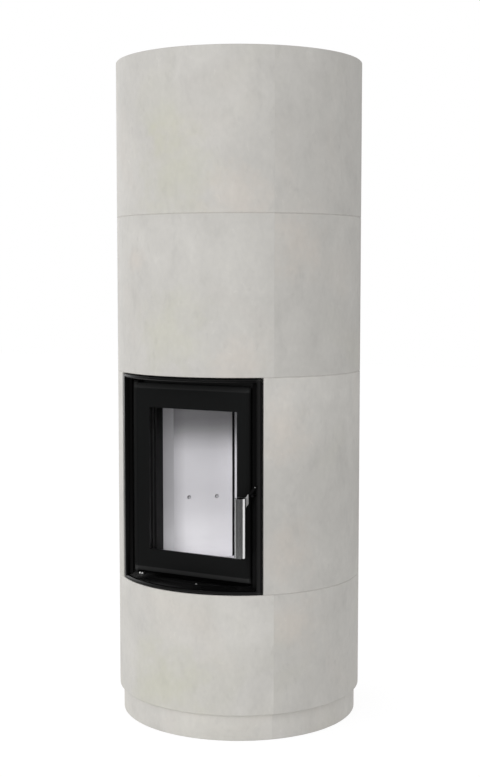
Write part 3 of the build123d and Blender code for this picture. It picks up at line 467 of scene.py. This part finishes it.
def sill_enamel(name):
    """Glossy black enamel, with a painted reflection that greys it a little round the slot's end of the
    plate.
    """
    graph = Graph(name)
    # A painted reflection round the slot's end.
    grey = graph.times(graph.along(X, (-0.165, 0.030), (-0.105, 0.0)),
                       graph.along(Y, (-0.303, 0.0), (-0.288, 1.0)))
    graph.set(Base_Color=graph.plus(grey, SILL_BLACK), Roughness=0.12, Specular_IOR_Level=0.13,
              Normal=orange_peel(graph, 700.0, 0.00004, 0.1))
    return graph.material


def front_paint(name):
    """The firebox's front plate, paler behind the leaf with painted light, and its darker jamb."""
    graph = Graph(name)
    # Painted light on the front plate behind the leaf.
    graph.set(Base_Color=graph.along(Y, (-0.2400, 0.022), (-0.2385, 0.0008), (-0.206, 0.0028)),
              Roughness=0.45, Specular_IOR_Level=0.10, Normal=orange_peel(graph))
    return graph.material


# ================================================================ metal, fibre and glass
STEEL_GRAIN = (700.0, 4.0, 0.6, 0.0)
STEEL_GRAIN_DEPTH = 0.00002
STEEL_GRAIN_STRENGTH = 0.08
# How far a face looks up, as its normal's Z, where its painted shade starts and where it is full.
TOP_STARTS = 0.6
TOP_FULL = 0.9
EVEN = (1.0, 1.0, 1.0)
CAST_SKIN = (260.0, 5.0, 0.65)
CAST_DEPTH = 0.0006
STITCH_SCALE = 220.0
STITCH_WAVE = 1.5
STITCH_DEPTH = 0.0005
GLASS_TINT = (0.965, 0.965, 0.968, 1.0)
GLASS_SMEARS = (9.0, 4.0, 0.5)
GLASS_ROUGHNESS = (0.012, 0.03)
GLASS_FACING = 0.18
GLASS_GLOSS = 0.35


def steel(name, colour, roughness, grain_scale=EVEN, metallic=1.0, painted_top_shade=1.0):
    """Steel with a fine grain that may run along one axis; its upper faces may be darkened with painted
    shade.
    """
    graph = Graph(name)
    grain = graph.noise(*STEEL_GRAIN, graph.stretch(grain_scale))
    base = graph.spread(grain, shade(colour, 0.95), shade(colour, 1.04))
    # Painted shade on the faces that look up.
    if painted_top_shade < 1.0:
        upward = graph.node("ShaderNodeSeparateXYZ")
        graph.link(graph.normal, upward.inputs["Vector"])
        base = graph.times(base, graph.ramp(upward.outputs["Z"], (TOP_STARTS, 1.0), (TOP_FULL, painted_top_shade)))
    graph.set(Base_Color=base, Metallic=metallic, Roughness=graph.uneven(grain, roughness),
              Normal=graph.bump(grain, STEEL_GRAIN_DEPTH, STEEL_GRAIN_STRENGTH))
    return graph.material


def cast(name, colour):
    """Sand-cast iron or concrete: coarse skin."""
    graph = Graph(name)
    skin = graph.noise(*CAST_SKIN)
    graph.set(Base_Color=graph.spread(skin, shade(colour, 0.8), shade(colour, 1.2)), Roughness=0.8,
              Specular_IOR_Level=0.3, Normal=graph.bump(skin, CAST_DEPTH, 0.6))
    return graph.material


def woven(name, colour):
    """Knitted glass-fibre seal: short slanted stitches."""
    graph = Graph(name)
    wave = graph.node("ShaderNodeTexWave", wave_type="BANDS", bands_direction="DIAGONAL")
    wave.inputs["Scale"].default_value = STITCH_SCALE
    wave.inputs["Distortion"].default_value = STITCH_WAVE
    graph.link(graph.place, wave.inputs["Vector"])
    stitches = wave.outputs["Fac"]
    base = graph.ramp(stitches, (0.2, shade(colour, 0.6)), (0.8, shade(colour, 1.2)))
    graph.set(Base_Color=base, Roughness=0.95, Specular_IOR_Level=0.1,
              Normal=graph.bump(stitches, STITCH_DEPTH, 0.6))
    return graph.material


def pane(name):
    """Clear glass ceramic, thin enough to let light straight through."""
    graph = Graph(name)
    clear = graph.node("ShaderNodeBsdfTransparent")
    clear.inputs["Color"].default_value = GLASS_TINT
    gloss = graph.node("ShaderNodeBsdfGlossy")
    graph.link(graph.spread(graph.noise(*GLASS_SMEARS), *GLASS_ROUGHNESS), gloss.inputs["Roughness"])
    facing = graph.node("ShaderNodeLayerWeight")
    facing.inputs["Blend"].default_value = GLASS_FACING
    share = graph.node("ShaderNodeMath", operation="MULTIPLY")
    share.inputs[1].default_value = GLASS_GLOSS
    graph.link(facing.outputs["Fresnel"], share.inputs[0])
    both = graph.node("ShaderNodeMixShader")
    graph.link(share.outputs["Value"], both.inputs["Fac"])
    graph.link(clear.outputs["BSDF"], both.inputs[1])
    graph.link(gloss.outputs["BSDF"], both.inputs[2])
    graph.show(both.outputs["Shader"])
    return graph.material


def dress_everything_else():
    dress(paint("stove_black", (0.0050, 0.0050, 0.0052), 0.40, 0.22), "soffit_plate", "firebox_shell",
          "air_box", "ash_pan", "smoke_pipe", "hinge_brackets", "air_shutter", "latch_pin")
    dress(surround_paint("surround_black"), "surround_frame")
    dress(front_paint("front_plate_black"), "firebox_front")
    dress(paint("retainer_black", (0.012, 0.012, 0.012), 0.45, 0.1), "glass_retainer")
    dress(leaf_paint("leaf_black"), "door_leaf")
    dress(paint("hook_black", (0.0015, 0.0015, 0.0015), 0.22, 0.45), "latch_hook")
    dress(sill_enamel("sill_gloss_black"), "sill")
    dress(paint("knob_black", (0.012, 0.012, 0.012), 0.3, 0.5), "air_knob")
    dress(fireclay("fireclay_back", BACK_CLAY, BACK_SHADE_BY_HEIGHT, X, BACK_LIGHT_AND_SHADE_BY_WIDTH, JOINT_SHADE_AND_LIGHT),
          "back_brick_left", "back_brick_right")
    dress(fireclay("fireclay_side", SIDE_CLAY, SIDE_SHADE_BY_HEIGHT, Y, SIDE_SHADE_BY_DEPTH),
          "side_brick_left", "side_brick_right")
    flat = fireclay("fireclay_flat", BACK_CLAY, BACK_SHADE_BY_HEIGHT)
    dress(flat, "floor_brick", "baffle_plate")
    add_plugs(flat)
    dress(cast("iron", (0.03, 0.03, 0.03)), "grate", "flue_collar", "back_channel")
    dress(cast("store_concrete", (0.35, 0.32, 0.29)), "storage_rings")
    dress(steel("zinc", (0.55, 0.56, 0.57), 0.45), "insert_stand", "levelling_feet",
          "storage_posts", "storage_carrier", "cover_brackets", "air_intake_pipe")
    dress(steel("turned_steel", (0.68, 0.68, 0.67), 0.25, (1.0, 1.0, 6.0)), "hinge_pins", "retainer_screws",
          "handle_pivot")
    dress(steel("brushed_grip", (0.72, 0.72, 0.72), 0.18, (6.0, 6.0, 0.4), painted_top_shade=0.3), "handle_grip")
    dress(steel("satin_cheek", (0.46, 0.46, 0.46), 0.6, (3.0, 3.0, 3.0), 0.2, 0.3), "handle_lever")
    dress(woven("seal_fibre", (0.16, 0.16, 0.16)), "glass_tape", "door_gasket")
    dress(pane("clear_pane"), "door_glass")


# ================================================================ studs and pins
STUD_SIDES = 28
# Half profile of a domed stud: share of its radius, share of its height.
STUD_PROFILE = ((1.0, 0.0), (1.0, 0.35), (0.95, 0.55), (0.80, 0.78), (0.52, 0.93), (0.22, 0.99))
STUD_ROUGHNESS = 0.42
STUD_METALLIC = 0.25
KNOB_STUD_RADIUS = 0.0026
KNOB_STUD_HEIGHT = 0.0027
KNOB_STUD_SINK = 0.0010
KNOB_STUD_SPACING = 0.0076
KNOB_STUD_MARGIN = 0.0002
HOOK_STUD_RADIUS = 0.0009
HOOK_STUD_HEIGHT = 0.0008
HOOK_STUD_INSET = 0.0042
HOOK_STUD_DROP = 0.0036


def add_stud(name, centre, radius, height, body, material, facing=FORWARD):
    """A domed stud that stands up from a point towards where it faces."""
    across = UP.cross(facing)
    points = []
    for share, rise in STUD_PROFILE:
        for turn in range(STUD_SIDES):
            angle = 2 * pi * turn / STUD_SIDES
            points.append(centre + facing * (height * rise)
                          + (across * cos(angle) + UP * sin(angle)) * (radius * share))
    last = (len(STUD_PROFILE) - 1) * STUD_SIDES
    faces = [tuple(range(last, last + STUD_SIDES)), tuple(reversed(range(STUD_SIDES)))]
    for ring in range(0, last, STUD_SIDES):
        for turn in range(STUD_SIDES):
            after = (turn + 1) % STUD_SIDES
            faces.append((ring + turn, ring + after, ring + after + STUD_SIDES, ring + turn + STUD_SIDES))
    piece = add_mesh(name, points, faces, material)
    piece.data.shade_smooth()
    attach(piece, body)


def add_studs():
    """Two bright studs on the knob's front and a small one at the tip of the latch hook."""
    bright = steel("stud_steel", (0.92, 0.92, 0.91), STUD_ROUGHNESS, metallic=STUD_METALLIC)
    low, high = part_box("air_knob")
    for index, side in enumerate((-0.5, 0.5)):
        centre = Vector(((low.x + high.x) / 2 + side * KNOB_STUD_SPACING, low.y + KNOB_STUD_SINK,
                         high.z - KNOB_STUD_RADIUS - KNOB_STUD_MARGIN))
        add_stud(f"knob_stud_{index}", centre, KNOB_STUD_RADIUS, KNOB_STUD_HEIGHT, "air_control", bright)
    low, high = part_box("latch_hook")
    centre = Vector((high.x - HOOK_STUD_INSET, low.y, high.z - HOOK_STUD_DROP))
    add_stud("hook_stud", centre, HOOK_STUD_RADIUS, HOOK_STUD_HEIGHT, "handle", bright)
    dress(steel("sill_stud_steel", (0.45, 0.45, 0.45), STUD_ROUGHNESS, metallic=STUD_METALLIC), "sill_stud")


# Each back brick's face runs from the chamber's side to the middle channel: X and depth of its two ends.
BACK_FACE_SIDE = (0.1309, 0.1501)
BACK_FACE_MIDDLE = (0.0035, 0.0321)
# Where its two holes lie, as shares of that run and as a height above its foot.
HOLE_SHARES = (0.259, 0.73)
HOLE_HEIGHT = 0.1775
PLUG_RADIUS = 0.0036
PLUG_HEIGHT = 0.006
PLUG_SINK = 0.0008
PLUG_SHIFT = 0.00133


def add_plugs(material):
    """A pale fireclay pin in each hole of the back bricks; it lies against the hole's lower right side."""
    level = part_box("back_brick_left")[0].z + HOLE_HEIGHT
    for side, label in ((-1, "left"), (1, "right")):
        start, end = (Vector((side * across, -depth, level))
                      for across, depth in (BACK_FACE_SIDE, BACK_FACE_MIDDLE))
        run = (end - start).normalized() * -side
        facing = Vector((run.y, -run.x, 0.0))
        for index, share in enumerate(HOLE_SHARES):
            centre = start.lerp(end, share) + (run - UP) * PLUG_SHIFT - facing * (PLUG_HEIGHT + PLUG_SINK)
            add_stud(f"hole_pin_{label}_{index}", centre, PLUG_RADIUS, PLUG_HEIGHT, "stove", material,
                     facing)


# ================================================================ stage and light
FLOOR_HALF = 14.0
FLOOR_GREY = (0.88, 0.88, 0.88, 1.0)
FLOOR_GLOW = 1.10
FLOOR_SHARE = 0.80
WORLD_LEVEL = 0.725
BACKGROUND_LEVEL = 1.0
CURTAIN_DISTANCE = 1.9
CURTAIN_HEIGHT = 3.0
# The curtain hangs over these ranges of azimuth, behind the camera and right of the stove at the back. The
# third number is its tone; its left end is paler.
CURTAIN_RANGES = ((-73.0, -58.0, 0.26), (-58.0, 73.0, 0.085), (125.0, 200.0, 0.085))
CURTAIN_PANELS = 8
CURTAIN_FOLDS = (0.6, 3.0, 0.5)
# A lamp is its azimuth, distance, height, size and power.
KEY_LAMP = (-5.0, 3.4, 1.7, (2.3, 2.6), 31.0)
RIM_LAMP = (-108.0, 3.4, 1.7, (1.8, 2.6), 24.0)
COLUMN_MIDDLE = (0.0, 0.0, 0.95)
CHAMBER_LAMP_AZIMUTH = 2.0
CHAMBER_LAMP_RISE = 0.02
CHAMBER_LAMP_SIZE = (0.10, 0.03)
CHAMBER_LAMP_POWER = 0.18
CHAMBER_TARGET_DEPTH = 0.08
CHAMBER_TARGET_RISE = 0.29


def background_rays(tree):
    """1 for the rays that show the background: the camera's, reflected ones and those through glass."""
    path = tree.nodes.new("ShaderNodeLightPath")
    total = path.outputs["Is Camera Ray"]
    for kind in ("Is Glossy Ray", "Is Transmission Ray"):
        step = tree.nodes.new("ShaderNodeMath")
        step.operation = "MAXIMUM"
        tree.links.new(total, step.inputs[0])
        tree.links.new(path.outputs[kind], step.inputs[1])
        total = step.outputs["Value"]
    return total


def stage_plane(name, corners, material):
    """A flat piece of the studio."""
    piece = add_mesh(name, corners, [tuple(range(len(corners)))], material)
    return piece


def add_floor():
    """A plain pale floor that shows white to the camera and keeps part of the stove's shadow."""
    graph = Graph("floor_white")
    graph.set(Base_Color=FLOOR_GREY, Roughness=0.8, Specular_IOR_Level=0.0)
    glow = graph.node("ShaderNodeEmission")
    glow.inputs["Color"].default_value = WHITE
    glow.inputs["Strength"].default_value = FLOOR_GLOW
    share = graph.node("ShaderNodeMath", operation="MULTIPLY")
    share.inputs[1].default_value = FLOOR_SHARE
    graph.link(background_rays(graph.tree), share.inputs[0])
    both = graph.node("ShaderNodeMixShader")
    graph.link(share.outputs["Value"], both.inputs["Fac"])
    graph.link(graph.shader.outputs["BSDF"], both.inputs[1])
    graph.link(glow.outputs["Emission"], both.inputs[2])
    graph.show(both.outputs["Shader"])
    stage_plane("floor", [(-FLOOR_HALF, -FLOOR_HALF, 0), (FLOOR_HALF, -FLOOR_HALF, 0),
                          (FLOOR_HALF, FLOOR_HALF, 0), (-FLOOR_HALF, FLOOR_HALF, 0)], graph.material)


def add_curtain():
    """The unlit sides of the studio. Only glossy surfaces see them."""
    for first, last, tone in CURTAIN_RANGES:
        graph = Graph("curtain_grey")
        glow = graph.node("ShaderNodeEmission")
        graph.link(graph.spread(graph.noise(*CURTAIN_FOLDS), tone * 0.7, tone * 1.3), glow.inputs["Color"])
        graph.show(glow.outputs["Emission"])
        width = (last - first) / CURTAIN_PANELS
        for index in range(CURTAIN_PANELS):
            left, right = (around(first + width * step, CURTAIN_DISTANCE) for step in (index, index + 1))
            panel = stage_plane("curtain", [(*left, 0.0), (*right, 0.0), (*right, CURTAIN_HEIGHT),
                                            (*left, CURTAIN_HEIGHT)], graph.material)
            panel.visible_camera = False
            panel.visible_diffuse = False
            panel.visible_transmission = False
            panel.visible_shadow = False


def add_world():
    """An even pale room: the camera sees plain white, the object gets a plain level of light."""
    world = bpy.data.worlds.new("studio")
    bpy.context.scene.world = world
    world.use_nodes = True
    tree = world.node_tree
    tree.nodes.clear()
    both = tree.nodes.new("ShaderNodeMixShader")
    for socket, level in ((1, WORLD_LEVEL), (2, BACKGROUND_LEVEL)):
        background = tree.nodes.new("ShaderNodeBackground")
        background.inputs["Color"].default_value = WHITE
        background.inputs["Strength"].default_value = level
        tree.links.new(background.outputs["Background"], both.inputs[socket])
    tree.links.new(background_rays(tree), both.inputs["Fac"])
    output = tree.nodes.new("ShaderNodeOutputWorld")
    tree.links.new(both.outputs["Shader"], output.inputs["Surface"])


def add_lamp(name, azimuth, distance, height, size, power, target=COLUMN_MIDDLE):
    """A soft rectangular lamp that looks at a point."""
    data = bpy.data.lights.new(name, "AREA")
    data.shape = "RECTANGLE"
    data.size, data.size_y = size
    data.energy = power
    lamp = add_object(name, data)
    lamp.location = (*around(azimuth, distance), height)
    lamp.rotation_euler = (Vector(target) - lamp.location).to_track_quat("-Z", "Y").to_euler()
    return lamp


def add_chamber_lamp():
    """A small lamp behind the lower edge of the mouth, aimed up at the slanted back bricks."""
    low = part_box("side_brick_left")[0]
    lamp = add_lamp("chamber", CHAMBER_LAMP_AZIMUTH, -low.y, low.z + CHAMBER_LAMP_RISE, CHAMBER_LAMP_SIZE,
                    CHAMBER_LAMP_POWER, (0.0, -CHAMBER_TARGET_DEPTH, low.z + CHAMBER_TARGET_RISE))
    lamp.visible_camera = False


bpy.context.scene.view_settings.view_transform = "Standard"
add_camera()
dress_column()
dress_everything_else()
add_studs()
add_floor()
add_world()
add_curtain()
add_lamp("key", *KEY_LAMP)
add_lamp("rim", *RIM_LAMP)
add_chamber_lamp()
